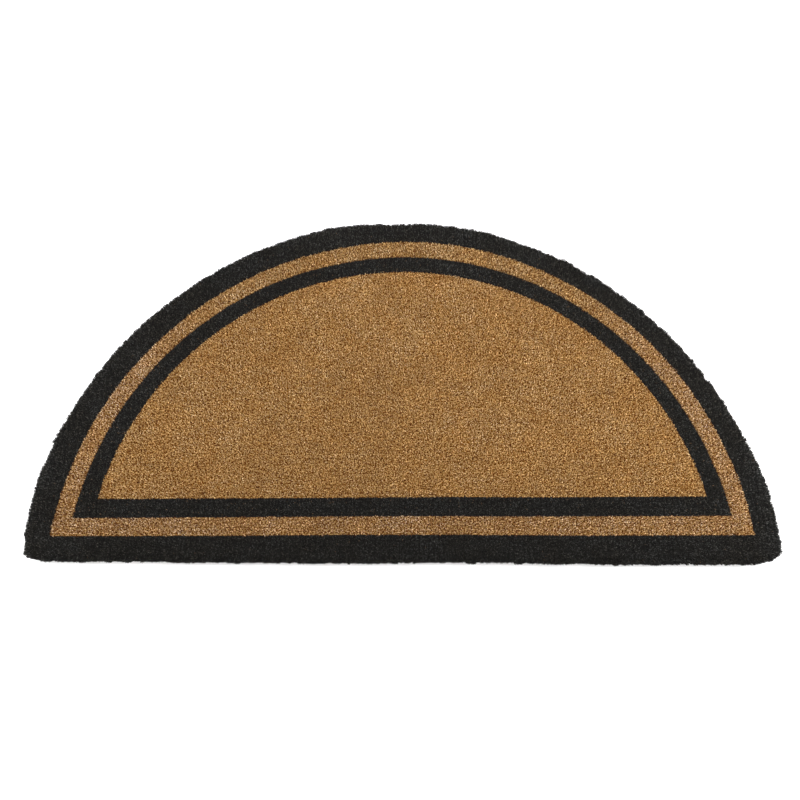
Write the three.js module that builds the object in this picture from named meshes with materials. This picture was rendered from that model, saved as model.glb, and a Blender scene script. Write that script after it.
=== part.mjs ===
// Half round doormat of hand-woven coir, made in one piece: a woven coir ground with a
// dense, cut coir pile standing on it. The dyed bands are colour alone, so the mat is one solid.
// Millimetres. +X runs along the straight front edge, +Y from that edge towards the arc, +Z up.
// The origin is under the middle of the mat's bounding box, and the underside lies on z = 0.
import * as THREE from 'three';

// Size of the mat
const ARC_RADIUS = 914.4;
const FRONT_DEPTH = 20.5;
const THICKNESS = 38;

// Corners between the arc and the straight edge: soft quarter ellipses, the right one larger
const CORNER_TOP = 7;
const RIGHT_CORNER_RUN = 98;
const LEFT_CORNER_RUN = 74;

// Steps round the outline, each about as long as two tufts
const RIGHT_CORNER_STEPS = 11;
const ARC_STEPS = 293;
const LEFT_CORNER_STEPS = 8;
const FRONT_STEPS = 168;

// How far the arc stands out past its true radius, by the angle from the right-hand corner
const ARC_WANDER = [
  { angle: 0, out: 0 },
  { angle: 7, out: 4 },
  { angle: 12, out: 4 },
  { angle: 20, out: -2 },
  { angle: 30, out: -2.5 },
  { angle: 48, out: -2 },
  { angle: 57, out: 0 },
  { angle: 66, out: -1.5 },
  { angle: 80, out: 5 },
  { angle: 90, out: -0.5 },
  { angle: 102, out: 9.5 },
  { angle: 114, out: 6 },
  { angle: 130, out: 6.5 },
  { angle: 144, out: 9 },
  { angle: 156, out: 9.5 },
  { angle: 168, out: 11.5 },
  { angle: 175, out: 6.5 },
  { angle: 180, out: 0 },
];

// How far the straight edge stands out past its mean line, by the distance along it
const FRONT_WANDER = [
  { along: -860, out: -6 },
  { along: -730, out: -5 },
  { along: -490, out: -3 },
  { along: -370, out: -2 },
  { along: -130, out: 1 },
  { along: 110, out: -1 },
  { along: 230, out: 0 },
  { along: 350, out: 3 },
  { along: 590, out: 6 },
  { along: 860, out: 6 },
];

// Lumps of neighbouring tufts round the edge, as waves of whole cycles round the outline
const EDGE_LUMPS = [
  { cycles: 41, height: 0.3 },
  { cycles: 67, height: 0.25 },
  { cycles: 98, height: 0.25 },
  { cycles: 131, height: 0.25 },
  { cycles: 163, height: 0.25 },
  { cycles: 199, height: 0.2 },
];

// The edge from the underside up: the woven ground, then pile that splays out and rounds over.
// inset is measured in from the outline, and lumps says how much of the lumps a level has.
const EDGE_LEVELS = [
  { z: 0, inset: 9.5, lumps: 0.3 },
  { z: 5, inset: 8, lumps: 0.5 },
  { z: 16, inset: 4, lumps: 0.9 },
  { z: 30, inset: 0, lumps: 1.3 },
  { z: 35, inset: 1.2, lumps: 1.2 },
  { z: 37.2, inset: 5.5, lumps: 0.8 },
];

// Rings that close the top and the underside, each with half the points of the ring outside it.
// reach is the share of the way from the middle of the face to its rim.
const FACE_RINGS = [
  { reach: 0.93 },
  { reach: 0.8 },
  { reach: 0.6 },
  { reach: 0.34 },
];
const FACE_MIDDLE = 380;

// Slow rise and fall of the pile's cut surface
const TOP_SWELL = 0.7;
const TOP_SWELL_LENGTH_X = 310;
const TOP_SWELL_LENGTH_Y = 230;

// The edge faces along a line square to a chord this many steps long on each side
const FACING_STEPS = 5;

const degrees = THREE.MathUtils.radToDeg;

// Value at x on a table's smooth curve: each span eases from one row to the next.
function along(table, key, x) {
  const last = table.length - 1;
  const above = table.findIndex((row) => row[key] >= x);
  const upper = above < 0 ? last : Math.max(above, 1);
  const a = table[upper - 1];
  const b = table[upper];
  const share = THREE.MathUtils.smoothstep(x, a[key], b[key]);
  return THREE.MathUtils.lerp(a.out, b.out, share);
}

function arcPoint(angle) {
  const radius = ARC_RADIUS + along(ARC_WANDER, 'angle', degrees(angle));
  return new THREE.Vector2(radius * Math.cos(angle), radius * Math.sin(angle));
}

function frontPoint(x) {
  return new THREE.Vector2(x, -FRONT_DEPTH - along(FRONT_WANDER, 'along', x));
}

// A quarter ellipse between an end of the arc and an end of the front line.
function cornerPoint(tip, end, turn) {
  const x = end.x + (tip.x - end.x) * Math.cos(turn);
  const y = tip.y + (end.y - tip.y) * Math.sin(turn);
  return new THREE.Vector2(x, y);
}

// The outline, from the front of the right corner, round the arc, to the front line again.
function outlinePoints() {
  const lift = Math.asin(CORNER_TOP / ARC_RADIUS);
  const rightTip = arcPoint(lift);
  const leftTip = arcPoint(Math.PI - lift);
  const rightEnd = frontPoint(rightTip.x - RIGHT_CORNER_RUN);
  const leftEnd = frontPoint(leftTip.x + LEFT_CORNER_RUN);
  const quarter = Math.PI / 2;
  const points = [];
  for (let i = 0; i < RIGHT_CORNER_STEPS; i += 1) {
    points.push(cornerPoint(rightTip, rightEnd, quarter * (1 - i / RIGHT_CORNER_STEPS)));
  }
  for (let i = 0; i < ARC_STEPS; i += 1) {
    points.push(arcPoint(THREE.MathUtils.lerp(lift, Math.PI - lift, i / ARC_STEPS)));
  }
  for (let i = 0; i < LEFT_CORNER_STEPS; i += 1) {
    points.push(cornerPoint(leftTip, leftEnd, (quarter * i) / LEFT_CORNER_STEPS));
  }
  for (let i = 0; i < FRONT_STEPS; i += 1) {
    points.push(frontPoint(THREE.MathUtils.lerp(leftEnd.x, rightEnd.x, i / FRONT_STEPS)));
  }
  return points;
}

// The way out of the mat at each point of the outline.
function facingOut(points) {
  const count = points.length;
  return points.map((point, i) => {
    const before = points[(i - FACING_STEPS + count) % count];
    const after = points[(i + FACING_STEPS) % count];
    const chord = after.clone().sub(before).normalize();
    return new THREE.Vector2(chord.y, -chord.x);
  });
}

function edgeLump(index, count, z) {
  const turn = (2 * Math.PI * index) / count;
  const lean = z / THICKNESS;
  return EDGE_LUMPS.reduce((sum, wave, order) => {
    return sum + wave.height * Math.sin(wave.cycles * turn + order * (1.9 + lean));
  }, 0);
}

// One closed ring of points at a level of the edge.
function edgeRing(outline, outward, level) {
  return outline.map((point, i) => {
    const out = level.lumps * edgeLump(i, outline.length, level.z) - level.inset;
    return new THREE.Vector3(
      point.x + outward[i].x * out,
      point.y + outward[i].y * out,
      level.z,
    );
  });
}

function pileTop(x, y) {
  const swell = Math.sin(x / TOP_SWELL_LENGTH_X * Math.PI) * Math.cos(y / TOP_SWELL_LENGTH_Y * Math.PI);
  return THICKNESS - TOP_SWELL + TOP_SWELL * swell;
}

// Every other point of a ring, drawn in towards the middle of the face.
function innerRing(rim, skip, reach, heightAt) {
  return rim.filter((point, i) => i % skip === 0).map((point) => {
    const x = point.x * reach;
    const y = FACE_MIDDLE + (point.y - FACE_MIDDLE) * reach;
    return new THREE.Vector3(x, y, heightAt(x, y));
  });
}

function addRing(vertices, ring) {
  const first = vertices.length;
  vertices.push(...ring);
  return { first, count: ring.length };
}

// Triangle strip between two rings with as many points each, the second above the first.
function joinEqual(triangles, lower, upper) {
  for (let i = 0; i < lower.count; i += 1) {
    const next = (i + 1) % lower.count;
    triangles.push([lower.first + i, lower.first + next, upper.first + next]);
    triangles.push([lower.first + i, upper.first + next, upper.first + i]);
  }
}

// Triangles between a ring and the one inside it, which has half as many points.
function joinHalf(triangles, outer, inner) {
  for (let j = 0; j < inner.count; j += 1) {
    const a = outer.first + 2 * j;
    const b = outer.first + 2 * j + 1;
    const c = outer.first + ((2 * j + 2) % outer.count);
    const here = inner.first + j;
    const next = inner.first + ((j + 1) % inner.count);
    triangles.push([a, b, here], [b, next, here], [b, c, next]);
  }
}

// Closes a face over a rim, and returns its triangles seen from above.
function closeFace(vertices, rimRing, rimPoints, heightAt) {
  const triangles = [];
  let outer = rimRing;
  FACE_RINGS.forEach((ring, order) => {
    const inner = addRing(vertices, innerRing(rimPoints, 2 ** (order + 1), ring.reach, heightAt));
    joinHalf(triangles, outer, inner);
    outer = inner;
  });
  const middle = vertices.length;
  vertices.push(new THREE.Vector3(0, FACE_MIDDLE, heightAt(0, FACE_MIDDLE)));
  for (let i = 0; i < outer.count; i += 1) {
    triangles.push([outer.first + i, outer.first + ((i + 1) % outer.count), middle]);
  }
  return triangles;
}

function matGeometry() {
  const outline = outlinePoints();
  const outward = facingOut(outline);
  const levels = EDGE_LEVELS.map((level) => edgeRing(outline, outward, level));
  const vertices = [];
  const triangles = [];
  const rings = levels.map((points) => addRing(vertices, points));
  for (let i = 1; i < rings.length; i += 1) {
    joinEqual(triangles, rings[i - 1], rings[i]);
  }
  const top = closeFace(vertices, rings.at(-1), levels.at(-1), pileTop);
  const underside = closeFace(vertices, rings[0], levels[0], () => 0);
  triangles.push(...top);
  triangles.push(...underside.map(([a, b, c]) => [a, c, b]));

  const geometry = new THREE.BufferGeometry();
  const positions = vertices.flatMap((vertex) => vertex.toArray());
  geometry.setAttribute('position', new THREE.Float32BufferAttribute(positions, 3));
  geometry.setIndex(triangles.flat());
  geometry.computeBoundingBox();
  const middle = geometry.boundingBox.getCenter(new THREE.Vector3());
  geometry.translate(-middle.x, -middle.y, 0);
  geometry.computeVertexNormals();
  return geometry;
}

function coirMaterial() {
  return new THREE.MeshStandardMaterial({ color: 0x956f43, roughness: 0.95, metalness: 0 });
}

function makeMat() {
  const mat = new THREE.Mesh(matGeometry(), coirMaterial());
  mat.name = 'mat';
  return mat;
}

const doormat = new THREE.Group();
doormat.add(makeMat());

export default doormat;
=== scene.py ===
"""Half round doormat of hand-woven coir.

A woven coir ground carries a dense, cut coir pile. The pile is dyed in bands that follow the
mat's outline: a black border, a natural brown stripe, a black stripe and a natural brown field.
Metres, with +X along the straight front edge, +Y towards the arc and +Z up.
"""

import math

import bpy
import numpy as np
from bpy.props import FloatProperty, FloatVectorProperty, IntProperty, PointerProperty
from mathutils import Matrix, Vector


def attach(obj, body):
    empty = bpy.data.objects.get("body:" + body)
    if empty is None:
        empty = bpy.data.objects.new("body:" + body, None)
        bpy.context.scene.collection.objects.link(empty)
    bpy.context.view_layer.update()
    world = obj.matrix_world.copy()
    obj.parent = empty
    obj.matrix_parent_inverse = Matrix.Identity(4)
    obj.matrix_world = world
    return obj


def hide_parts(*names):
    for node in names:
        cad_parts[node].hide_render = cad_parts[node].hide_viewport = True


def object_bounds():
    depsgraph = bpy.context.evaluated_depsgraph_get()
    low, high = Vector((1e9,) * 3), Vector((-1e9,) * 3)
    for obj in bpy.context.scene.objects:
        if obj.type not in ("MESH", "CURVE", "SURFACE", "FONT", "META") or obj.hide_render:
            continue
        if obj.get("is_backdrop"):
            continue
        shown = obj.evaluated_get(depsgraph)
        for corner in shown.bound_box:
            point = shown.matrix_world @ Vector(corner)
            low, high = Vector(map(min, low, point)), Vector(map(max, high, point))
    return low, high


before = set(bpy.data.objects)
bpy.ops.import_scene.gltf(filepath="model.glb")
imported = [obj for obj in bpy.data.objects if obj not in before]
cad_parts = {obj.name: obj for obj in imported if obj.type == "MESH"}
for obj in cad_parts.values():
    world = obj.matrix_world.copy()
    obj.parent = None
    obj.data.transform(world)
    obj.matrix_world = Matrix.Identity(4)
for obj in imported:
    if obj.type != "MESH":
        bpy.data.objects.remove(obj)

CAD_LOW, CAD_HIGH = (list(corner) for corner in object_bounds())

bl_info = {
    "name": "Half Round Coir Doormat",
    "version": (1, 0, 0),
    "blender": (4, 5, 0),
    "location": "View3D > Sidebar > Doormat",
    "description": "Builds a hand-woven half round coir doormat with dyed bands",
    "category": "Add Mesh",
}

# The bands, numbered from the rim inwards
BORDER, BROWN_STRIPE, BLACK_STRIPE, FIELD = range(4)

# The level at which the solid's edge stands out most, and how far in it is at other levels
WIDEST_LEVEL = 0.030
EDGE_HEIGHTS = (0.000, 0.005, 0.016, 0.030, 0.035, 0.0372)
EDGE_INSETS = (0.0095, 0.0080, 0.0040, 0.0000, 0.0012, 0.0055)

# How far the outer sides of the brown stripe, the black stripe and the field wander, in
# millimetres: along the arc by the angle in degrees from the right, outwards, and along the
# front by the way in millimetres from the arc's centre, backwards.
ARC_WANDER = (
    (6, -0.5, 1.0, 0.0),
    (24, -1.5, -1.5, -0.5),
    (38, 0.0, 0.0, 0.0),
    (60, 1.2, 1.5, 0.8),
    (80, 3.0, 0.3, -0.5),
    (90, 1.5, -0.5, -0.5),
    (102, -1.5, -2.5, -1.0),
    (116, -1.2, -0.8, 0.0),
    (136, -1.8, -0.5, 0.0),
    (150, -0.3, 0.5, 0.0),
    (165, 0.3, 1.2, 0.3),
    (176, 2.0, 2.0, 0.0),
)
FRONT_WANDER = (
    (-700, 0.0, -1.5, -1.5),
    (-420, 0.0, -0.6, -1.0),
    (-100, 1.4, 0.8, 0.2),
    (140, 1.0, 0.6, 1.3),
    (280, -0.5, -0.8, 0.0),
    (450, -2.2, -0.8, 0.0),
    (700, -2.0, -0.5, 0.8),
)

# More than any wander in the two tables, in millimetres
WANDER_LIMIT = 4.0

# Small waves of the dyed edges: turns along X and along Y in radians a metre, phase in radians
# and height in millimetres
STENCIL_WAVES = (
    (97, 61, 0.3, 0.5),
    (-173, 149, 1.9, 0.45),
    (331, 257, 4.1, 0.35),
    (-59, 401, 2.2, 0.3),
)

# The tufts along the rim: the range of their widths and its middle, the spread of how far they
# stand out and of how much they slant, the depth of the nicks between them, and their seed
TUFT_WIDTHS = (0.006, 0.019)
TUFT_WIDTH = 0.0125
TUFT_STANDING = 0.0008
TUFT_SLANT = 0.06
NICK_DEPTH = 0.0014
TUFT_SEED = 41

# How far the seams between these tufts lean along the rim for each metre up, the height that
# the tufts slant about, and how much fuller the rim is at some heights
SEAM_LEAN = 0.12
RIM_MIDDLE = 0.02
RIM_HEIGHTS = (0.0, 0.018, 0.028, 0.037)
RIM_FULLNESS = (0.0, 0.0, 0.0018, 0.0015)

# How far a fibre strays from its place in the grid, as a share of the grid's spacing, and how
# far inside the rim the outermost ones stand
GRID_SHAKE = 0.55
RIM_MARGIN = 0.0003

# Width of a fibre's cut end as a share of its root's
CUT_SHARES = (0.55, 0.95)

# How the pile's cut surface is uneven. A clump is a few fibres, a hollow is wider and starts
# where its noise is this strong, and a pit is one fibre that stands low.
CLUMP_WIDTH = 0.0026
CLUMP_DEPTH = 0.0024
CLUMP_START = 0.3
HOLLOW_WIDTH = 0.0048
HOLLOW_DEPTH = 0.0036
HOLLOW_START = 0.53
HOLLOW_RISE = 0.18
PIT_SHARE = 0.25
PIT_DEPTH = 0.0028
RIB_HEIGHT = 0.00035
ROW_SPREAD = 0.00018
HEIGHT_SPREAD = 0.0005

# How far in from the rim the pile splays out over it, and how much its cut ends drop there
SPLAY_REACH = 0.028
SHOULDER_WAYS = (0.0, 0.0025, 0.0055, 0.014)
SHOULDER_DROPS = (-0.0040, -0.0018, -0.0006, 0.0)

# A fibre's tone is 0 for the darkest and 1 for the palest. typical is the mean, sharp sets
# neighbours apart, clumped follows the clumps, so that the low clumps are darker, partly as
# painted shade, and the last darkens the fibres in the hollows and pits, as painted shade.
NATURAL_TONES = {"typical": 0.61, "sharp": 0.38, "clumped": 0.10, "hollow_shade": 0.8}
DYED_TONES = {"typical": 0.52, "sharp": 0.16, "clumped": 0.38, "hollow_shade": 0.2}
TONE_SPREAD = 0.28
# The share of the hollows' painted shade that a pit gets
PIT_SHADE = 0.6
ROW_TONE = 0.02
MISSED_TONE = 1.3

# Shares of the fibres that the dye hardly reached
MISSED_IN_STRIPE = 0.018
MISSED_IN_BORDER = 0.002

# The fibres up the side: how many, how far in and how high they start, the level from which
# their cut ends rise, how much less than the pile's height these span, and the few that stray
SIDE_FIBRES = 26000
SIDE_ROOTS = (0.0105, 0.0140)
SIDE_ROOT_HEIGHTS = (0.002, 0.012)
SIDE_START = 0.0035
SIDE_LESS = 0.0055
STRAY_SHARE = 0.02
STRAY_OUT = 0.0012

# Tints for the two ends of the coir's slow patches, its slow changes of hue and its flecks
PATCH_TINTS = ((0.89, 0.85, 0.79, 1.0), (1.11, 1.15, 1.21, 1.0))
HUE_TINTS = ((1.04, 0.98, 0.85, 1.0), (0.96, 1.02, 1.16, 1.0))
FLECK_TINTS = ((0.76, 0.685, 0.515, 1.0), (1.21, 1.287, 1.50, 1.0))

# Tints of the dark and the bright clumps, partly their own tone and partly painted shade and
# painted highlight, and the painted shade of a fibre at its root
NATURAL_GRAIN_AND_SHADE = ((0.35, 0.205, 0.04), (1.43, 1.61, 2.08))
STRIPE_GRAIN_AND_SHADE = ((0.22, 0.11, 0.025), (1.60, 1.84, 2.40))
DYED_GRAIN_AND_SHADE = ((0.66, 0.66, 0.66), (1.34, 1.34, 1.34))
NATURAL_ROOT_SHADE = (0.19, 0.07, 0.01)
DYED_ROOT_SHADE = (0.12, 0.12, 0.12)

# From where to where the stripe's cast fades out, along Y
CAST_FADE = (0.05, 0.27)

# Colours of the ground's yarn
DARK_YARN = (0.120, 0.063, 0.026, 1.0)
PALE_YARN = (0.265, 0.160, 0.076, 1.0)

WHITE = (1.0, 1.0, 1.0, 1.0)

# Noises of the shaders: scale, detail, roughness, and the part of the range that is drawn out
CLUMP_NOISE = (300.0, 0.0, 0.5, 0.33, 0.67)
GAP_NOISE = (250.0, 0.0, 0.5, 0.265, 0.385)
PATCH_NOISE = (9.0, 5.0, 0.8, 0.415, 0.585)
HUE_NOISE = (12.0, 5.0, 0.88, 0.44, 0.56)
FLECK_NOISE = (1300.0, 2.0, 0.7, 0.25, 0.75)

# Half the width over which one band's colour gives way to the next in the dense pile
BAND_BLUR = 0.0008

# The lamps: name, size, energy, place, the point that each faces, and its beam in degrees
LAMPS = (
    ("softbox", 4.3, 40, (0.30, -0.94, 5.5), (0.0, 0.0, 0.0), 180),
    ("right softbox", 1.3, 48, (1.5, -0.1, 1.5), (0.0, 0.0, 0.0), 180),
    ("left softbox", 1.3, 38, (-1.5, -0.1, 1.5), (0.0, 0.0, 0.0), 180),
    ("back softbox", 1.6, 8, (0.15, 1.0, 2.6), (0.15, 1.0, 0.0), 70),
)
ROOM_LIGHT = 1.22
FLOOR_COLOUR = (0.96, 0.96, 0.96)

# The photo's view: focal length and picture width in pixels, the place of the lens from the
# bands' centre and the cut surface, its angle off straight down in degrees, and its turn in
# radians
FOCAL_PIXELS = 760.8
PICTURE_PIXELS = 800
LENS_PLACE = (-0.0054, -0.2492, 1.8457)
LENS_TIP = 90 - 70.9 + 0.04
LENS_TURN = -0.0027


class MatSizes(bpy.types.PropertyGroup):
    """Sizes of the mat, its bands, its weave and its pile."""

    arc_centre_x: FloatProperty(
        name="Arc centre, sideways", description="Where the centre of the bands' arcs lies",
        default=0.00155, unit="LENGTH")
    arc_centre_y: FloatProperty(
        name="Arc centre, from the front", description="How far it lies behind the foremost edge",
        default=0.0279, unit="LENGTH")
    stripe_radius: FloatProperty(
        name="Brown stripe radius", description="Radius of the brown stripe's outer side",
        default=0.8546, unit="LENGTH")
    stripe_front: FloatProperty(
        name="Brown stripe front", description="Its straight outer side, from the arc centre",
        default=0.0462, unit="LENGTH")
    stripe_width: FloatProperty(
        name="Brown stripe width", description="Width of the brown stripe",
        default=0.0449, unit="LENGTH")
    black_width: FloatProperty(
        name="Black stripe width", description="Width of the black stripe along its arc",
        default=0.0464, unit="LENGTH")
    black_front: FloatProperty(
        name="Black stripe front width", description="Width of the black stripe along the front",
        default=0.0477, unit="LENGTH")
    column_pitch: FloatProperty(
        name="Tuft pitch along a row", description="From one tuft to the next",
        default=0.01196, unit="LENGTH")
    row_pitch: FloatProperty(
        name="Row pitch", description="From one row of tufts to the next",
        default=0.0154, unit="LENGTH")
    top: FloatProperty(
        name="Pile height", description="Level of the cut surface above the floor",
        default=CAD_HIGH[2] - 0.0008, unit="LENGTH")
    mass_top: FloatProperty(
        name="Dense pile height", description="Level below which the fibres look like one mass",
        default=CAD_HIGH[2] - 0.0065, unit="LENGTH")
    ground: FloatProperty(
        name="Ground thickness", description="Thickness of the woven ground",
        default=0.006, unit="LENGTH")
    fibre_length: FloatProperty(
        name="Fibre length", description="Length of the cut ends that show",
        default=0.0095, unit="LENGTH")
    fibre_width: FloatProperty(
        name="Fibre width", description="Width of a clump of fibres at its root",
        default=0.0020, unit="LENGTH")
    lean: FloatProperty(
        name="Lean", description="How far the fibres lean, as a spread about upright",
        default=math.radians(17), unit="ROTATION")
    seed: IntProperty(name="Seed", description="Seed of the pile's unevenness", default=11)


class CoirColours(bpy.types.PropertyGroup):
    """Colours of natural and of dyed coir."""

    deep: FloatVectorProperty(
        name="Deep coir", description="Dark brown fibres", subtype="COLOR",
        default=(0.097, 0.0225, 0.0008))
    mid: FloatVectorProperty(
        name="Brown coir", description="Most of the natural fibres", subtype="COLOR",
        default=(0.502, 0.292, 0.0870))
    pale: FloatVectorProperty(
        name="Straw coir", description="The palest natural fibres", subtype="COLOR",
        default=(0.682, 0.440, 0.1625))
    stripe_cast: FloatVectorProperty(
        name="Stripe cast", description="The brown stripe's colours as a multiple of the field's",
        default=(1.055, 1.07, 1.295))
    dye_deep: FloatVectorProperty(
        name="Deep dye", description="Dyed fibres where the dye is full", subtype="COLOR",
        default=(0.0043, 0.0041, 0.0037))
    dye_mid: FloatVectorProperty(
        name="Dye", description="Most of the dyed fibres", subtype="COLOR",
        default=(0.0179, 0.0170, 0.0147))
    dye_pale: FloatVectorProperty(
        name="Thin dye", description="Dyed fibres where the dye is thin", subtype="COLOR",
        default=(0.067, 0.064, 0.055))
    dye_missed: FloatVectorProperty(
        name="Missed fibre", description="The few fibres that the dye hardly reached",
        subtype="COLOR", default=(0.115, 0.075, 0.042))


def sizes():
    return bpy.context.scene.doormat_sizes


def colours():
    return bpy.context.scene.doormat_colours


# Outline of the mat, taken from the solid's own edge


def edge_ring(spread=5):
    """The solid's widest ring as angles about the box's middle, reaches, and the way out.

    spread is how many points to each side the way out is taken over.
    """
    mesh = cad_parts["mat"].data
    points = np.empty(len(mesh.vertices) * 3, np.float32)
    mesh.vertices.foreach_get("co", points)
    points = points.reshape(-1, 3).astype(float)
    ring = points[np.abs(points[:, 2] - WIDEST_LEVEL) < 1e-4][:, :2]
    ring = np.unique(ring.round(5), axis=0)
    turn = np.arctan2(ring[:, 1], ring[:, 0])
    order = np.argsort(turn)
    ring, turn = ring[order], turn[order]
    chord = np.roll(ring, -spread, 0) - np.roll(ring, spread, 0)
    out = np.stack([chord[:, 1], -chord[:, 0]], 1)
    out /= np.linalg.norm(out, axis=1, keepdims=True)
    return turn, np.hypot(ring[:, 0], ring[:, 1]), out


def around(turn, ring):
    """Reach of the outline and the way out of the mat, at each turn about the middle."""
    angles, reach, out = ring
    wrap = 2 * math.pi
    here = np.interp(turn, angles, reach, period=wrap)
    way = np.stack([np.interp(turn, angles, out[:, k], period=wrap) for k in (0, 1)], 1)
    way /= np.linalg.norm(way, axis=1, keepdims=True)
    return here, way


def on_outline(turn, ring, inset):
    """Points on the outline, moved in by inset."""
    reach, way = around(turn, ring)
    return reach[:, None] * np.stack([np.cos(turn), np.sin(turn)], 1) - way * inset


def room_inside(points, ring):
    """How far each point lies inside the outline, and the way out there."""
    turn = np.arctan2(points[:, 1], points[:, 0])
    reach, way = around(turn, ring)
    radial = np.stack([np.cos(turn), np.sin(turn)], 1)
    gap = (reach - np.hypot(points[:, 0], points[:, 1])) * np.sum(radial * way, 1)
    return gap, way


# Bands


def arc_centre():
    s = sizes()
    return np.array([s.arc_centre_x, CAD_LOW[1] + s.arc_centre_y])


def band_shapes():
    """Radius and straight side of the three nested half rounds, from the largest in."""
    s = sizes()
    on_arc = np.cumsum([0.0, s.stripe_width, s.black_width])
    on_front = np.cumsum([0.0, s.stripe_width, s.black_front])
    return [(s.stripe_radius - arc, s.stripe_front + front)
            for arc, front in zip(on_arc, on_front)]


def stencil_wobble(points):
    """Small unevenness of the dyed edges, from the weave under the stencil."""
    x, y = points[:, 0], points[:, 1]
    return 0.001 * sum(h * np.sin(a * x + b * y + p) for a, b, p, h in STENCIL_WAVES)


def band_of(points):
    """The band that each point lies in: BORDER, BROWN_STRIPE, BLACK_STRIPE or FIELD."""
    away = points - arc_centre()
    radius = np.hypot(away[:, 0], away[:, 1])
    angle = np.degrees(np.arctan2(away[:, 1], away[:, 0]))
    wobble = stencil_wobble(points)
    on_arc, on_front = np.array(ARC_WANDER), np.array(FRONT_WANDER)
    band = np.zeros(len(points), int)
    for order, (limit, front) in enumerate(band_shapes(), start=1):
        outwards = np.interp(angle, on_arc[:, 0], on_arc[:, order]) / 1000
        back = np.interp(away[:, 0] * 1000, on_front[:, 0], on_front[:, order]) / 1000
        depth = np.minimum(limit + outwards - radius, away[:, 1] - front - back)
        band += depth + wobble > 0
    return band


def soft_noise(points, cell, seed):
    """Smooth noise from -1 to 1, with lumps about one cell wide."""
    table = np.random.default_rng(seed).uniform(-1, 1, (256, 256))
    place = points / cell
    base = np.floor(place).astype(int)
    part = place - base
    part = part * part * (3 - 2 * part)
    x0, y0 = (base % 256).T
    x1, y1 = ((base + 1) % 256).T
    low = table[x0, y0] * (1 - part[:, 0]) + table[x1, y0] * part[:, 0]
    high = table[x0, y1] * (1 - part[:, 0]) + table[x1, y1] * part[:, 0]
    return low * (1 - part[:, 1]) + high * part[:, 1]


def edge_lumps(turn, ring, height=0.0):
    """How far the tufts stand out of the edge: round lumps with small nicks between them."""
    angles, reach, _ = ring
    edge = reach[:, None] * np.stack([np.cos(angles), np.sin(angles)], 1)
    steps = np.linalg.norm(np.diff(edge, axis=0, append=edge[:1]), axis=1)
    run = np.concatenate([[0.0], np.cumsum(steps)])
    here = np.interp(turn, np.append(angles, angles[0] + 2 * math.pi), run)
    rng = np.random.default_rng(TUFT_SEED)
    widths = rng.uniform(*TUFT_WIDTHS, 2 * int(run[-1] / TUFT_WIDTH))
    seams = np.cumsum(widths)
    out = rng.normal(0, TUFT_STANDING, len(seams) + 1)
    slant = rng.normal(0, TUFT_SLANT, len(seams) + 1)
    here = here + SEAM_LEAN * height
    tuft = np.searchsorted(seams, here)
    start = np.append(0.0, seams)[tuft]
    share = (here - start) / widths[np.minimum(tuft, len(widths) - 1)]
    nick = NICK_DEPTH * np.abs(2 * share - 1) ** 5
    fuller = np.interp(height, RIM_HEIGHTS, RIM_FULLNESS)
    return fuller + out[tuft] + slant[tuft] * (height - RIM_MIDDLE) - nick


# Fibres as joined meshes


def mesh_object(name, points, faces, material, smooth=True):
    """A mesh object from arrays, placed at the origin."""
    mesh = bpy.data.meshes.new(name)
    corners = faces.shape[1]
    mesh.vertices.add(len(points))
    mesh.vertices.foreach_set("co", np.ascontiguousarray(points, np.float32).ravel())
    mesh.loops.add(faces.size)
    mesh.loops.foreach_set("vertex_index", np.ascontiguousarray(faces, np.int32).ravel())
    mesh.polygons.add(len(faces))
    mesh.polygons.foreach_set("loop_start", np.arange(0, faces.size, corners, dtype=np.int32))
    mesh.update(calc_edges=True)
    mesh.polygons.foreach_set("use_smooth", np.full(len(faces), smooth))
    mesh.validate()
    mesh.materials.append(material)
    piece = bpy.data.objects.new(name, mesh)
    bpy.context.collection.objects.link(piece)
    return piece


def point_values(mesh, name, values):
    layer = mesh.attributes.new(name, "FLOAT", "POINT")
    layer.data.foreach_set("value", np.ascontiguousarray(values, np.float32).ravel())


def unit(vectors):
    return vectors / np.linalg.norm(vectors, axis=1, keepdims=True)


def fibre_map(mesh, count):
    """Gives each fibre a small square of its own on the piece's colour map."""
    side = math.ceil(math.sqrt(count))
    number = np.arange(count)
    cell = np.stack([number % side, number // side], 1)[:, None, :]
    # a tenth of the square stays free on each side
    corner = np.array([[0.1, 0.1], [0.9, 0.1], [0.1, 0.9], [0.9, 0.9]])[None]
    places = ((cell + corner) / side).reshape(-1, 2)
    index = np.empty(len(mesh.loops), np.int32)
    mesh.loops.foreach_get("vertex_index", index)
    layer = mesh.uv_layers.new(name="OFBake")
    layer.data.foreach_set("uv", np.ascontiguousarray(places[index], np.float32).ravel())


def fibres(name, tips, way, length, width, tone, rng, material, root_along=0.0):
    """Many cut fibres as one mesh: each is closed, tapers a little and ends in a chisel cut."""
    count = len(tips)
    way = unit(way)
    across = unit(np.cross(way, unit(rng.normal(size=(count, 3)))))
    other = np.cross(way, across)
    roots = tips - way * length[:, None]
    half = width[:, None] / 2
    cut = half * rng.uniform(*CUT_SHARES, (count, 1))
    points = np.stack([
        roots - across * half,
        roots + across * half,
        tips - other * cut,
        tips + other * cut,
    ], 1).reshape(-1, 3)
    pattern = np.array([[0, 1, 2], [1, 0, 3], [0, 2, 3], [1, 3, 2]])
    faces = (np.arange(count)[:, None, None] * 4 + pattern[None]).reshape(-1, 3)
    piece = mesh_object(name, points, faces, material)
    point_values(piece.data, "tone", np.repeat(tone, 4))
    # along runs from the root to the cut end and sets the painted shade towards the root
    point_values(piece.data, "along", np.tile([root_along, root_along, 1.0, 1.0], count))
    fibre_map(piece.data, count)
    return piece


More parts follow.
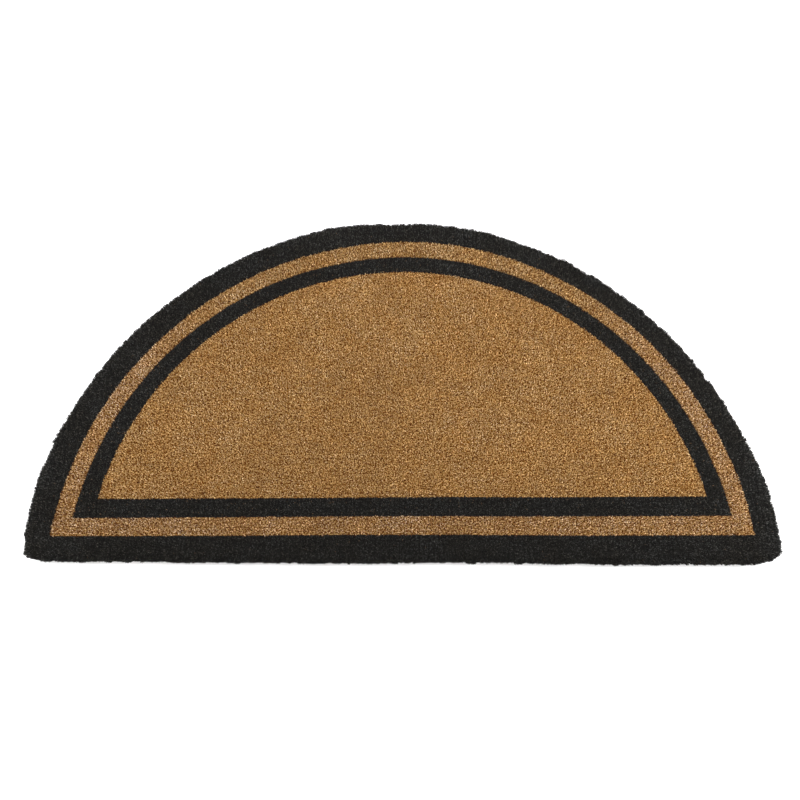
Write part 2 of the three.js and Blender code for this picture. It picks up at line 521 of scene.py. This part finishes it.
def pile_spots(band, spacing_x, spacing_y, rng, ring):
    """Places of the cut ends in a band: a grid in step with the tufts, shaken a little.

    The second result is 1 or -1 by turns along the grid's rows and columns.
    """
    xs = np.arange(CAD_LOW[0], CAD_HIGH[0], spacing_x)
    ys = np.arange(CAD_LOW[1], CAD_HIGH[1], spacing_y)
    grid = np.stack(np.meshgrid(xs, ys), -1).reshape(-1, 2)
    by_turns = np.where(np.add.outer(np.arange(len(ys)), np.arange(len(xs))) % 2, 1, -1).ravel()
    grid += rng.uniform(-GRID_SHAKE, GRID_SHAKE, grid.shape) * (spacing_x, spacing_y)
    gap, _ = room_inside(grid, ring)
    turn = np.arctan2(grid[:, 1], grid[:, 0])
    gap += edge_lumps(turn, ring, sizes().top)
    kept = (gap > RIM_MARGIN) & (band_of(grid) == band)
    return grid[kept], by_turns[kept]


def row_values(rng, spots, spread):
    """One value for each row of tufts, so rows differ a little as woven."""
    row = np.floor((spots[:, 1] - CAD_LOW[1]) / sizes().row_pitch).astype(int)
    return rng.normal(0, spread, row.max() + 1)[row]


def standing_pile(name, spots, by_turns, rng, ring, material, tones, lift=0.0, missed=0.0):
    """Fibres whose cut ends lie at these spots, splayed within their tufts and over the edge.

    missed is the share of the fibres that the dye hardly reached.
    """
    s = sizes()
    count = len(spots)
    gap, way_out = room_inside(spots, ring)
    turn = np.arctan2(spots[:, 1], spots[:, 0])
    gap = np.maximum(gap + edge_lumps(turn, ring, s.top), 0)
    in_tuft_x = ((spots[:, 0] / s.column_pitch + 0.5) % 1) - 0.5
    in_tuft_y = (((spots[:, 1] - CAD_LOW[1]) / s.row_pitch) % 1) - 0.5
    splay = np.stack([in_tuft_x, in_tuft_y], 1) * 0.5
    near_edge = np.clip(1 - gap / SPLAY_REACH, 0, 1)[:, None]
    flat = rng.normal(0, math.tan(s.lean), (count, 2)) + splay + way_out * near_edge ** 1.5 * 1.1
    way = np.concatenate([flat, np.ones((count, 1))], 1)
    across_tuft = np.cos(2 * math.pi * in_tuft_x)
    ribs = RIB_HEIGHT * across_tuft + row_values(rng, spots, ROW_SPREAD)
    shoulder = np.interp(gap, SHOULDER_WAYS, SHOULDER_DROPS)
    clump = soft_noise(spots, CLUMP_WIDTH, s.seed + 60)
    pit = (rng.uniform(size=count) < PIT_SHARE) & (by_turns < 0)
    dip = -soft_noise(spots, HOLLOW_WIDTH, s.seed + 61)
    hollow = np.clip((dip - HOLLOW_START) / HOLLOW_RISE, 0, 1)
    sunk = CLUMP_DEPTH * np.clip(-clump - CLUMP_START, 0, 1)
    sunk += np.maximum(PIT_DEPTH * pit, HOLLOW_DEPTH * hollow)
    height = s.top + lift + ribs + shoulder - sunk + rng.normal(0, HEIGHT_SPREAD, count)
    tips = np.concatenate([spots, height[:, None]], 1)
    length = s.fibre_length * rng.uniform(0.8, 1.2, count)
    width = s.fibre_width * rng.uniform(0.65, 1.35, count)
    tone = rng.normal(tones["typical"], TONE_SPREAD, count)
    tone = tone + tones["sharp"] * by_turns + tones["clumped"] * clump
    # painted shade: the fibres in the hollows and pits are darker
    tone -= tones["hollow_shade"] * np.maximum(PIT_SHADE * pit, hollow)
    tone += ROW_TONE * across_tuft + row_values(rng, spots, ROW_TONE)
    tone = np.clip(tone, 0, 1)
    tone[rng.uniform(size=count) < missed] = MISSED_TONE
    return fibres(name, tips, way, length, width, tone, rng, material)


def edge_pile(name, count, rng, ring, material):
    """Long fibres up the mat's side, from the ground to their cut ends below the shoulder."""
    # twice as many places as needed, thinned out below
    turn = rng.uniform(-math.pi, math.pi, count * 2)
    reach, way_out = around(turn, ring)
    # the outline is longer where it is far from the middle or oblique to it
    slant = np.abs(np.cos(turn) * way_out[:, 0] + np.sin(turn) * way_out[:, 1])
    weight = reach / slant
    keep = rng.uniform(0, weight.max(), count * 2) < weight
    turn, way_out = turn[keep][:count], way_out[keep][:count]
    count = len(turn)
    level = rng.uniform(0.12, 1.0, count) ** 0.8
    height = SIDE_START + level * (sizes().top - SIDE_LESS)
    inset = np.interp(height, EDGE_HEIGHTS, EDGE_INSETS)
    loose = rng.normal(0.0005, 0.0005, count)
    stray = rng.uniform(size=count) < STRAY_SHARE
    inset += loose - stray * STRAY_OUT
    reach = around(turn, ring)[0]
    edge = reach[:, None] * np.stack([np.cos(turn), np.sin(turn)], 1)
    lump = edge_lumps(turn, ring, height)
    aside = np.stack([-way_out[:, 1], way_out[:, 0]], 1)
    flat = edge + way_out * (lump - inset)[:, None]
    tips = np.concatenate([flat, height[:, None]], 1)
    low = edge - way_out * rng.uniform(*SIDE_ROOTS, (count, 1))
    low = low + aside * rng.normal(0, 0.003, (count, 1))
    root_height = np.minimum(rng.uniform(*SIDE_ROOT_HEIGHTS, count), height * 0.5)
    roots = np.concatenate([low, root_height[:, None]], 1)
    way = tips - roots
    length = np.linalg.norm(way, axis=1)
    width = sizes().fibre_width * rng.uniform(0.7, 1.2, count)
    tone = np.clip(rng.normal(0.45, 0.24, count), 0, 1)
    # their roots get a lighter painted root shade than the standing pile's
    return fibres(name, tips, way, length, width, tone, rng, material, root_along=0.5)


# Shader groups and materials


class Nodes:
    """Short ways to add and link nodes in one tree."""

    def __init__(self, tree):
        self.tree = tree

    def add(self, kind, **settings):
        node = self.tree.nodes.new(kind)
        for key, value in settings.items():
            setattr(node, key, value)
        return node

    def link(self, source, target):
        self.tree.links.new(source, target)

    def put(self, socket, value):
        if isinstance(value, bpy.types.NodeSocket):
            self.link(value, socket)
        else:
            socket.default_value = value

    def math(self, operation, *values, clamp=False):
        node = self.add("ShaderNodeMath", operation=operation, use_clamp=clamp)
        for socket, value in zip(node.inputs, values):
            self.put(socket, value)
        return node.outputs[0]

    def mix(self, share, first, second, blend="MIX"):
        node = self.add("ShaderNodeMix", data_type="RGBA", blend_type=blend)
        sockets = (node.inputs[0], node.inputs[6], node.inputs[7])
        for socket, value in zip(sockets, (share, first, second)):
            self.put(socket, value)
        return node.outputs[2]

    def vector(self, operation, place, values):
        node = self.add("ShaderNodeVectorMath", operation=operation)
        self.link(place, node.inputs[0])
        node.inputs[1].default_value = values
        return node.outputs[0]

    def parts(self, place):
        node = self.add("ShaderNodeSeparateXYZ")
        self.link(place, node.inputs[0])
        return node.outputs

    def noise(self, place, scale, detail=3.0, rough=0.5):
        node = self.add("ShaderNodeTexNoise")
        self.put(node.inputs["Vector"], place)
        node.inputs["Scale"].default_value = scale
        node.inputs["Detail"].default_value = detail
        node.inputs["Roughness"].default_value = rough
        return node.outputs["Fac"]

    def spread(self, value, low, high, to_low=0.0, to_high=1.0):
        node = self.add("ShaderNodeMapRange")
        for socket, number in zip(node.inputs, (value, low, high, to_low, to_high)):
            self.put(socket, number)
        return node.outputs[0]

    def spread_noise(self, place, kind):
        """A noise from 0 to 1, of one of the kinds in the table."""
        scale, detail, rough, low, high = kind
        return self.spread(self.noise(place, scale, detail, rough), low, high)

    def bump(self, height, strength, distance, shader):
        node = self.add("ShaderNodeBump")
        node.inputs["Strength"].default_value = strength
        node.inputs["Distance"].default_value = distance
        self.link(height, node.inputs["Height"])
        self.link(node.outputs["Normal"], shader.inputs["Normal"])


def new_group(name, inputs, outputs):
    """An empty shader group with named sockets: inputs and outputs are (name, kind, default)."""
    tree = bpy.data.node_groups.new(name, "ShaderNodeTree")
    for side, sockets in (("INPUT", inputs), ("OUTPUT", outputs)):
        for title, kind, default in sockets:
            socket = tree.interface.new_socket(title, in_out=side, socket_type=kind)
            if side == "INPUT" and default is not None:
                socket.default_value = default
    nodes = Nodes(tree)
    return tree, nodes, nodes.add("NodeGroupInput").outputs, nodes.add("NodeGroupOutput").inputs


COLOUR, VALUE, VECTOR = "NodeSocketColor", "NodeSocketFloat", "NodeSocketVector"


def clump_shade_and_grain_group():
    """Darkens and lightens a colour by fibre clumps a few mm wide seen from above: tone, painted
    shade and highlight.
    """
    tree, n, given, result = new_group(
        "Clump grain",
        [("Position", VECTOR, None), ("Colour", COLOUR, None), ("Dark", COLOUR, None),
         ("Bright", COLOUR, None)],
        [("Colour", COLOUR, None)])
    upright = n.vector("MULTIPLY", given["Position"], (1.0, 1.0, 0.1))
    # darker and brighter clumps: partly their own tone, partly painted shade and painted
    # highlight
    clump = n.spread_noise(upright, CLUMP_NOISE)
    shade = n.mix(clump, given["Dark"], given["Bright"])
    shaded = n.mix(1.0, given["Colour"], shade, "MULTIPLY")
    # and by painted shade in the gaps between them, from a second noise
    full = n.spread_noise(n.vector("ADD", upright, (5.0, 9.0, 0.0)), GAP_NOISE)
    gap = n.mix(full, given["Dark"], WHITE)
    n.link(n.mix(1.0, shaded, gap, "MULTIPLY"), result["Colour"])
    return tree


def fibre_tone_group():
    """Colour of one fibre from its tone, with painted shade towards its root, and slow patches.
    """
    tree, n, given, result = new_group(
        "Fibre tone",
        [("Tone", VALUE, 0.5), ("Along", VALUE, 1.0), ("Position", VECTOR, None),
         ("Deep", COLOUR, None), ("Mid", COLOUR, None), ("Pale", COLOUR, None),
         ("Missed", COLOUR, None), ("Root", COLOUR, None), ("Patchy", VALUE, 1.0)],
        [("Colour", COLOUR, None)])
    lower = n.mix(n.spread(given["Tone"], 0.0, 0.55), given["Deep"], given["Mid"])
    colour = n.mix(n.spread(given["Tone"], 0.55, 1.0), lower, given["Pale"])
    colour = n.mix(n.spread(given["Tone"], 1.0, 1.3), colour, given["Missed"])
    patches = n.mix(n.spread_noise(given["Position"], PATCH_NOISE), *PATCH_TINTS)
    apart = n.vector("ADD", given["Position"], (7.0, 3.0, 5.0))
    hue = n.mix(n.spread_noise(apart, HUE_NOISE), *HUE_TINTS)
    patches = n.mix(1.0, patches, n.mix(given["Patchy"], WHITE, hue), "MULTIPLY")
    drawn_out = n.vector("MULTIPLY", given["Position"], (1.0, 1.0, 0.15))
    flecked = n.mix(n.spread_noise(drawn_out, FLECK_NOISE), *FLECK_TINTS)
    # painted shade: each fibre darker down towards its root
    root = n.mix(n.math("POWER", given["Along"], 2.4), given["Root"], WHITE)
    shaded = n.mix(1.0, n.mix(1.0, colour, flecked, "MULTIPLY"), root, "MULTIPLY")
    n.link(n.mix(1.0, shaded, patches, "MULTIPLY"), result["Colour"])
    return tree


def wander_ramp(n, place, table, order):
    """One column of a wander table as a ramp over its first column, in metres."""
    first, last = table[0][0], table[-1][0]
    ramp = n.add("ShaderNodeValToRGB")
    points = ramp.color_ramp.elements
    while len(points) < len(table):
        points.new(0.5)
    for point, row in zip(points, table):
        point.position = (row[0] - first) / (last - first)
        level = 0.5 + row[order] / WANDER_LIMIT / 2
        point.color = (level, level, level, 1.0)
    n.link(n.spread(place, first, last), ramp.inputs[0])
    return n.spread(ramp.outputs[0], 0.0, 1.0, -WANDER_LIMIT / 1000, WANDER_LIMIT / 1000)


def bands_group():
    """1 on the natural brown bands and 0 on the dyed ones, seen from above."""
    tree, n, given, result = new_group(
        "Dyed bands", [("Position", VECTOR, None)], [("Brown", VALUE, None)])
    centre = arc_centre()
    moved = n.vector("SUBTRACT", given["Position"], (centre[0], centre[1], 0.0))
    x, y = n.parts(moved)[:2]
    radius = n.math("SQRT", n.math("ADD", n.math("MULTIPLY", x, x), n.math("MULTIPLY", y, y)))
    angle = n.math("MULTIPLY", n.math("ARCTAN2", y, x), 180 / math.pi)
    along_front = n.math("MULTIPLY", x, 1000.0)
    brown = None
    for order, (limit, front) in enumerate(band_shapes(), start=1):
        outwards = wander_ramp(n, angle, ARC_WANDER, order)
        back = wander_ramp(n, along_front, FRONT_WANDER, order)
        within = n.math("SUBTRACT", n.math("ADD", outwards, limit), radius)
        behind = n.math("SUBTRACT", n.math("SUBTRACT", y, front), back)
        inside = n.spread(n.math("MINIMUM", within, behind), -BAND_BLUR, BAND_BLUR)
        brown = n.math("ABSOLUTE", n.math("SUBTRACT", brown, inside)) if brown else inside
    n.link(brown, result["Brown"])
    return tree


def weave_group():
    """Plain weave of thick two-ply coir yarn: rounded beads in staggered rows."""
    tree, n, given, result = new_group(
        "Coir weave",
        [("Position", VECTOR, None), ("Across", VALUE, 0.012), ("Down", VALUE, 0.0077)],
        [("Shade", VALUE, None), ("Height", VALUE, None)])
    x, y = n.parts(given["Position"])[:2]
    # the rows wave a little, and the beads shift along them
    bend = n.spread(n.noise(given["Position"], 60.0, 2.0), 0.3, 0.7, -0.12, 0.12)
    sway = n.spread(n.noise(given["Position"], 23.0, 2.0), 0.3, 0.7, -0.3, 0.3)
    across = n.math("ADD", n.math("DIVIDE", x, given["Across"]), sway)
    down = n.math("ADD", n.math("DIVIDE", y, given["Down"]), bend)
    row = n.math("FLOOR", down)
    shift = n.math("MULTIPLY", n.math("FLOORED_MODULO", row, 2.0), 0.5)
    along = n.math("ADD", across, shift)
    # each bead is a dome, with u and v from -1 to 1 along and across it
    u = n.math("SUBTRACT", n.math("MULTIPLY", n.math("FRACT", along), 2.0), 1.0)
    v = n.math("SUBTRACT", n.math("MULTIPLY", n.math("FRACT", down), 2.0), 1.0)
    off = n.math("ADD", n.math("MULTIPLY", n.math("POWER", n.math("ABSOLUTE", u), 3.0), 0.85),
                 n.math("MULTIPLY", v, v))
    left = n.math("SUBTRACT", 1.0, n.math("MULTIPLY", off, 0.9))
    dome = n.math("SQRT", n.math("MAXIMUM", left, 0.0))
    ply = n.math("SINE", n.math("ADD", n.math("MULTIPLY", u, 5.2), n.math("MULTIPLY", v, 2.6)))
    strands = n.vector("MULTIPLY", given["Position"], (0.35, 1.0, 1.0))
    hairs = n.noise(strands, 1500.0, 3.0, 0.7)
    height = n.math("ADD", dome, n.math("MULTIPLY", ply, 0.09))
    height = n.math("ADD", height, n.math("MULTIPLY", hairs, 0.5))
    n.link(height, result["Height"])
    # each bead is a little lighter or darker
    cell = n.add("ShaderNodeCombineXYZ")
    n.link(n.math("FLOOR", along), cell.inputs[0])
    n.link(row, cell.inputs[1])
    each = n.add("ShaderNodeTexWhiteNoise", noise_dimensions="3D")
    n.link(cell.outputs[0], each.inputs["Vector"])
    tint = n.spread(each.outputs["Value"], 0.0, 1.0, 0.8, 1.15)
    # painted shade down the beads' sides and between them, times each bead's own tint
    n.link(n.math("MULTIPLY", n.spread(height, 0.15, 1.25, 0.22, 1.2), tint), result["Shade"])
    return tree


def group(maker, name):
    return bpy.data.node_groups.get(name) or maker()


def place_group(n, tree, **inputs):
    node = n.add("ShaderNodeGroup", node_tree=tree)
    for title, value in inputs.items():
        n.put(node.inputs[title.replace("_", " ")], value)
    return node


def new_material(name, roughness, specular):
    """A material with its nodes, its shader and the object's own coordinates."""
    material = bpy.data.materials.new(name)
    material.use_nodes = True
    n = Nodes(material.node_tree)
    shader = material.node_tree.nodes["Principled BSDF"]
    shader.inputs["Roughness"].default_value = roughness
    shader.inputs["Specular IOR Level"].default_value = specular
    place = n.add("ShaderNodeTexCoord").outputs["Object"]
    return material, n, shader, place


def rgba(colour):
    return (*colour, 1.0)


def fibre_material(name, deep, mid, pale, missed, roughness, specular, root, grain, patchy,
                   cast=(1.0, 1.0, 1.0)):
    """Finish of the fibres of one colour, read from each fibre's own tone.

    patchy is how much of the natural coir's slow changes of hue it has. cast is a tint that
    fades out towards the top of the arc. root is the painted shade towards each fibre's root,
    and the clump tints are partly painted shade and painted highlight.
    """
    material = bpy.data.materials.get(name)
    if material:
        return material
    material, n, shader, place = new_material(name, roughness, specular)
    tone = n.add("ShaderNodeAttribute", attribute_name="tone").outputs["Fac"]
    along = n.add("ShaderNodeAttribute", attribute_name="along").outputs["Fac"]
    look = place_group(n, group(fibre_tone_group, "Fibre tone"), Tone=tone, Along=along,
                       Position=place, Deep=rgba(deep), Mid=rgba(mid), Pale=rgba(pale),
                       Missed=rgba(missed), Root=rgba(root), Patchy=patchy)
    fade = n.spread(n.parts(place)[1], *CAST_FADE)
    tint = n.mix(fade, rgba(cast), WHITE)
    colour = n.mix(1.0, look.outputs["Colour"], tint, "MULTIPLY")
    clumps = place_group(n, group(clump_shade_and_grain_group, "Clump grain"), Position=place, Colour=colour,
                         Dark=rgba(grain[0]), Bright=rgba(grain[1]))
    n.link(clumps.outputs["Colour"], shader.inputs["Base Color"])
    return material


def natural_fibre():
    c = colours()
    return fibre_material("natural coir fibre", c.deep, c.mid, c.pale, c.pale, 0.75, 0.045,
                          NATURAL_ROOT_SHADE, NATURAL_GRAIN_AND_SHADE, 1.0)


def stripe_fibre():
    c = colours()
    return fibre_material("stripe coir fibre", c.deep, c.mid, c.pale, c.pale, 0.75, 0.045,
                          NATURAL_ROOT_SHADE, STRIPE_GRAIN_AND_SHADE, 1.0, cast=c.stripe_cast)


def dyed_fibre():
    c = colours()
    return fibre_material("black dyed coir fibre", c.dye_deep, c.dye_mid, c.dye_pale,
                          c.dye_missed, 0.8, 0.09, DYED_ROOT_SHADE, DYED_GRAIN_AND_SHADE, 0.0)


def pile_mass_material():
    """The dense pile between the fibres: darker than them as painted shade, in the bands' colours
    seen from above.
    """
    c = colours()
    material, n, shader, place = new_material("dense coir pile", 0.95, 0.1)
    speck = n.noise(place, 430.0, 4.0, 0.7)
    # painted shade: the pile below the cut ends is darker than the fibres' own colours
    dark, bright = rgba(np.array(c.deep) * 0.5), rgba(np.array(c.mid) * 0.8)
    brown = n.mix(n.spread(speck, 0.4, 0.66), dark, bright)
    clumps = place_group(n, group(clump_shade_and_grain_group, "Clump grain"), Position=place, Colour=brown,
                         Dark=rgba(NATURAL_GRAIN_AND_SHADE[0]), Bright=rgba(NATURAL_GRAIN_AND_SHADE[1]))
    # and the same painted shade on the dyed bands
    dark, bright = rgba(np.array(c.dye_deep) * 0.5), rgba(c.dye_mid)
    black = n.mix(n.spread(speck, 0.42, 0.75), dark, bright)
    bands = place_group(n, group(bands_group, "Dyed bands"), Position=place)
    colour = n.mix(bands.outputs["Brown"], black, clumps.outputs["Colour"])
    n.link(colour, shader.inputs["Base Color"])
    n.bump(speck, 0.8, 0.0015, shader)
    return material


def ground_material():
    """Woven coir yarn, with a weave that is in step with the tufts and painted shade between its
    beads.
    """
    material, n, shader, place = new_material("woven coir ground", 0.9, 0.2)
    weave = place_group(n, group(weave_group, "Coir weave"), Position=place,
                        Across=sizes().column_pitch, Down=sizes().row_pitch / 2)
    strand = n.noise(place, 350.0, 3.0, 0.7)
    yarn = n.mix(n.spread(strand, 0.3, 0.7), DARK_YARN, PALE_YARN)
    n.link(n.mix(1.0, yarn, weave.outputs["Shade"], "MULTIPLY"), shader.inputs["Base Color"])
    n.bump(weave.outputs["Height"], 1.0, 0.0025, shader)
    return material


def plain_material(name, colour, roughness):
    """One colour, with patches that are hardly darker."""
    material, n, shader, place = new_material(name, roughness, 0.2)
    patch = n.spread(n.noise(place, 1.5), 0.3, 0.7)
    tint = n.mix(patch, rgba(colour), rgba(np.array(colour) * 0.985))
    n.link(tint, shader.inputs["Base Color"])
    return material


# Modelling with the edit-mode tools


def deselect_all():
    for thing in bpy.context.selected_objects:
        thing.select_set(False)


def get_points(mesh):
    points = np.empty(len(mesh.vertices) * 3, np.float32)
    mesh.vertices.foreach_get("co", points)
    return points.reshape(-1, 3).astype(float)


def set_points(mesh, points):
    mesh.vertices.foreach_set("co", np.ascontiguousarray(points, np.float32).ravel())
    mesh.update()


def mat_slab(name, cells_x, cells_y, levels, ring, lumpy=0.0):
    """A closed slab of the mat's outline. levels are (height, inset), from the top down.

    lumpy is how much of the tufts' lumps its edge has.
    """
    deselect_all()
    bpy.ops.mesh.primitive_grid_add(x_subdivisions=cells_x, y_subdivisions=cells_y, size=2)
    slab = bpy.context.active_object
    slab.name = slab.data.name = name
    grid = get_points(slab.data)
    u, v = grid[:, 0], grid[:, 1]
    # a square grid drawn out into a disc, then out to the mat's own outline
    disc = np.stack([u * np.sqrt(1 - v * v / 2), v * np.sqrt(1 - u * u / 2)], 1)
    share = np.hypot(disc[:, 0], disc[:, 1])
    turn = np.arctan2(disc[:, 1], disc[:, 0])
    top, inset = levels[0]
    lump = lumpy * edge_lumps(turn, ring, top)[:, None]
    flat = on_outline(turn, ring, inset - lump) * np.clip(share, 0, 1)[:, None]
    set_points(slab.data, np.concatenate([flat, np.full((len(flat), 1), top)], 1))
    for height, inset in levels[1:]:
        bpy.ops.object.mode_set(mode="EDIT")
        bpy.ops.mesh.select_mode(type="VERT")
        bpy.ops.mesh.select_all(action="DESELECT")
        bpy.ops.mesh.select_non_manifold()
        bpy.ops.mesh.extrude_region_move()
        bpy.ops.object.mode_set(mode="OBJECT")
        chosen = np.empty(len(slab.data.vertices), bool)
        slab.data.vertices.foreach_get("select", chosen)
        points = get_points(slab.data)
        turn = np.arctan2(points[chosen, 1], points[chosen, 0])
        lump = lumpy * edge_lumps(turn, ring, height)[:, None]
        points[chosen, :2] = on_outline(turn, ring, inset - lump)
        points[chosen, 2] = height
        set_points(slab.data, points)
    bpy.ops.object.mode_set(mode="EDIT")
    bpy.ops.mesh.select_all(action="DESELECT")
    bpy.ops.mesh.select_non_manifold()
    bpy.ops.mesh.edge_face_add()
    bpy.ops.mesh.select_all(action="SELECT")
    bpy.ops.mesh.normals_make_consistent(inside=False)
    bpy.ops.object.mode_set(mode="OBJECT")
    bpy.ops.object.shade_smooth()
    return slab


def roughen(piece, name, size, depth):
    """Displaces the surface with soft lumps and applies that."""
    lumps = bpy.data.textures.new(name, "CLOUDS")
    lumps.noise_scale = size
    lumps.noise_depth = 3
    shake = piece.modifiers.new(name, "DISPLACE")
    shake.texture = lumps
    shake.texture_coords = "LOCAL"
    shake.strength = depth
    shake.mid_level = 0.5
    deselect_all()
    piece.select_set(True)
    bpy.context.view_layer.objects.active = piece
    bpy.ops.object.modifier_apply(modifier=shake.name)


def finish_piece(piece, replaced=()):
    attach(piece, "root")
    if replaced:
        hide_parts(*replaced)


def add_softbox(name, size, energy, place, aim, beam):
    """A round lamp that faces the point aim. beam is in degrees."""
    light = bpy.data.lights.new(name, "AREA")
    light.shape = "DISK"
    light.size = size
    light.energy = energy
    light.spread = math.radians(beam)
    lamp = bpy.data.objects.new(name, light)
    lamp.location = place
    lamp.rotation_euler = (Vector(aim) - Vector(place)).to_track_quat("-Z", "Y").to_euler()
    bpy.context.collection.objects.link(lamp)


# Operators, one for each piece or group of like pieces


class DOORMAT_OT_stage(bpy.types.Operator):
    """Adds the pale floor, the soft light and the camera"""

    bl_idname = "doormat.stage"
    bl_label = "Stage"

    def execute(self, context):
        scene = context.scene
        deselect_all()
        bpy.ops.mesh.primitive_grid_add(x_subdivisions=8, y_subdivisions=8, size=24,
                                        location=(0, 0, -0.0003))
        floor = context.active_object
        floor.name = floor.data.name = "floor"
        floor.data.materials.append(plain_material("pale floor", FLOOR_COLOUR, 0.9))
        floor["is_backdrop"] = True

        world = scene.world or bpy.data.worlds.new("soft room")
        scene.world = world
        world.use_nodes = True
        sky = world.node_tree.nodes["Background"]
        sky.inputs[0].default_value = WHITE
        sky.inputs[1].default_value = ROOM_LIGHT
        for lamp in LAMPS:
            add_softbox(*lamp)

        lens = bpy.data.cameras.new("camera")
        lens.sensor_width = 36
        lens.sensor_fit = "HORIZONTAL"
        lens.lens = 36 * FOCAL_PIXELS / PICTURE_PIXELS
        camera = bpy.data.objects.new("camera", lens)
        below = (*arc_centre(), sizes().top)
        camera.location = [start + way for start, way in zip(below, LENS_PLACE)]
        camera.rotation_euler = (math.radians(LENS_TIP), 0, 0)
        camera.rotation_euler.rotate_axis("Z", LENS_TURN)
        context.collection.objects.link(camera)
        scene.camera = camera
        scene.view_settings.view_transform = "Standard"
        return {"FINISHED"}


class DOORMAT_OT_ground(bpy.types.Operator):
    """Adds the woven coir ground that the pile stands on"""

    bl_idname = "doormat.ground"
    bl_label = "Woven Ground"

    def execute(self, context):
        s = sizes()
        ring = edge_ring()
        levels = [(s.ground, 0.0076), (s.ground * 0.5, 0.0074), (0.0, 0.0093)]
        ground = mat_slab("woven_ground", 120, 60, levels, ring)
        ground.data.materials.append(ground_material())
        finish_piece(ground)
        return {"FINISHED"}


class DOORMAT_OT_mass(bpy.types.Operator):
    """Adds the dense pile between the ground and the fibres' cut ends"""

    bl_idname = "doormat.mass"
    bl_label = "Dense Pile"

    def execute(self, context):
        s = sizes()
        levels = [
            (s.mass_top, 0.0060),
            (s.mass_top - 0.003, 0.0030),
            (0.020, 0.0044),
            (s.ground - 0.001, 0.0094),
        ]
        mass = mat_slab("dense_pile", 400, 150, levels, edge_ring(), lumpy=1.0)
        mass.data.materials.append(pile_mass_material())
        roughen(mass, "pile lumps", 0.008, 0.0028)
        points = get_points(mass.data)
        points[:, 2] = np.maximum(points[:, 2], s.ground - 0.001)
        set_points(mass.data, points)
        finish_piece(mass, ["mat"])
        return {"FINISHED"}


class DOORMAT_OT_field(bpy.types.Operator):
    """Adds the natural brown pile of the field"""

    bl_idname = "doormat.field"
    bl_label = "Field Pile"

    def execute(self, context):
        s = sizes()
        rng = np.random.default_rng(s.seed)
        ring = edge_ring()
        spots, by_turns = pile_spots(FIELD, s.column_pitch / 4, s.row_pitch / 6, rng, ring)
        upper = by_turns > 0
        low = standing_pile("field_pile", spots[~upper], by_turns[~upper], rng, ring,
                            natural_fibre(), NATURAL_TONES, lift=-0.0008)
        high = standing_pile("field_tips", spots[upper], by_turns[upper], rng, ring,
                             natural_fibre(), NATURAL_TONES)
        for piece in (low, high):
            finish_piece(piece)
        return {"FINISHED"}


class DOORMAT_OT_black_stripe(bpy.types.Operator):
    """Adds the black dyed pile of the inner stripe"""

    bl_idname = "doormat.black_stripe"
    bl_label = "Black Stripe Pile"

    def execute(self, context):
        s = sizes()
        rng = np.random.default_rng(s.seed + 1)
        ring = edge_ring()
        spots, by_turns = pile_spots(BLACK_STRIPE, s.column_pitch / 4.5, s.row_pitch / 6,
                                     rng, ring)
        piece = standing_pile("black_stripe_pile", spots, by_turns, rng, ring, dyed_fibre(),
                              DYED_TONES, missed=MISSED_IN_STRIPE)
        finish_piece(piece)
        return {"FINISHED"}


class DOORMAT_OT_brown_stripe(bpy.types.Operator):
    """Adds the natural brown pile of the outer stripe"""

    bl_idname = "doormat.brown_stripe"
    bl_label = "Brown Stripe Pile"

    def execute(self, context):
        s = sizes()
        rng = np.random.default_rng(s.seed + 2)
        ring = edge_ring()
        spots, by_turns = pile_spots(BROWN_STRIPE, s.column_pitch / 4.5, s.row_pitch / 6.5,
                                     rng, ring)
        piece = standing_pile("brown_stripe_pile", spots, by_turns, rng, ring, stripe_fibre(),
                              NATURAL_TONES)
        finish_piece(piece)
        return {"FINISHED"}


class DOORMAT_OT_border(bpy.types.Operator):
    """Adds the black dyed pile of the border"""

    bl_idname = "doormat.border"
    bl_label = "Border Pile"

    def execute(self, context):
        s = sizes()
        rng = np.random.default_rng(s.seed + 3)
        ring = edge_ring()
        spots, by_turns = pile_spots(BORDER, s.column_pitch / 4.5, s.row_pitch / 6, rng, ring)
        piece = standing_pile("border_pile", spots, by_turns, rng, ring, dyed_fibre(),
                              DYED_TONES, missed=MISSED_IN_BORDER)
        finish_piece(piece)
        return {"FINISHED"}


class DOORMAT_OT_edge(bpy.types.Operator):
    """Adds the fibres that stand out of the mat's edge"""

    bl_idname = "doormat.edge"
    bl_label = "Edge Pile"

    def execute(self, context):
        rng = np.random.default_rng(sizes().seed + 4)
        piece = edge_pile("edge_pile", SIDE_FIBRES, rng, edge_ring(), dyed_fibre())
        finish_piece(piece)
        return {"FINISHED"}


MAKERS = (
    DOORMAT_OT_stage,
    DOORMAT_OT_ground,
    DOORMAT_OT_mass,
    DOORMAT_OT_field,
    DOORMAT_OT_black_stripe,
    DOORMAT_OT_brown_stripe,
    DOORMAT_OT_border,
    DOORMAT_OT_edge,
)


class DOORMAT_PT_panel(bpy.types.Panel):
    """Lists the mat's sizes, colours and pieces"""

    bl_idname = "DOORMAT_PT_panel"
    bl_label = "Coir Doormat"
    bl_space_type = "VIEW_3D"
    bl_region_type = "UI"
    bl_category = "Doormat"

    def draw(self, context):
        for values in (context.scene.doormat_sizes, context.scene.doormat_colours):
            box = self.layout.box()
            for name in values.__annotations__:
                box.prop(values, name)
        for maker in MAKERS:
            self.layout.operator(maker.bl_idname)


CLASSES = (MatSizes, CoirColours, *MAKERS, DOORMAT_PT_panel)


def register():
    for item in CLASSES:
        bpy.utils.register_class(item)
    bpy.types.Scene.doormat_sizes = PointerProperty(type=MatSizes)
    bpy.types.Scene.doormat_colours = PointerProperty(type=CoirColours)


def unregister():
    del bpy.types.Scene.doormat_colours
    del bpy.types.Scene.doormat_sizes
    for item in reversed(CLASSES):
        bpy.utils.unregister_class(item)


def main():
    register()
    for maker in MAKERS:
        area, name = maker.bl_idname.split(".")
        getattr(getattr(bpy.ops, area), name)()


if __name__ == "__main__":
    main()
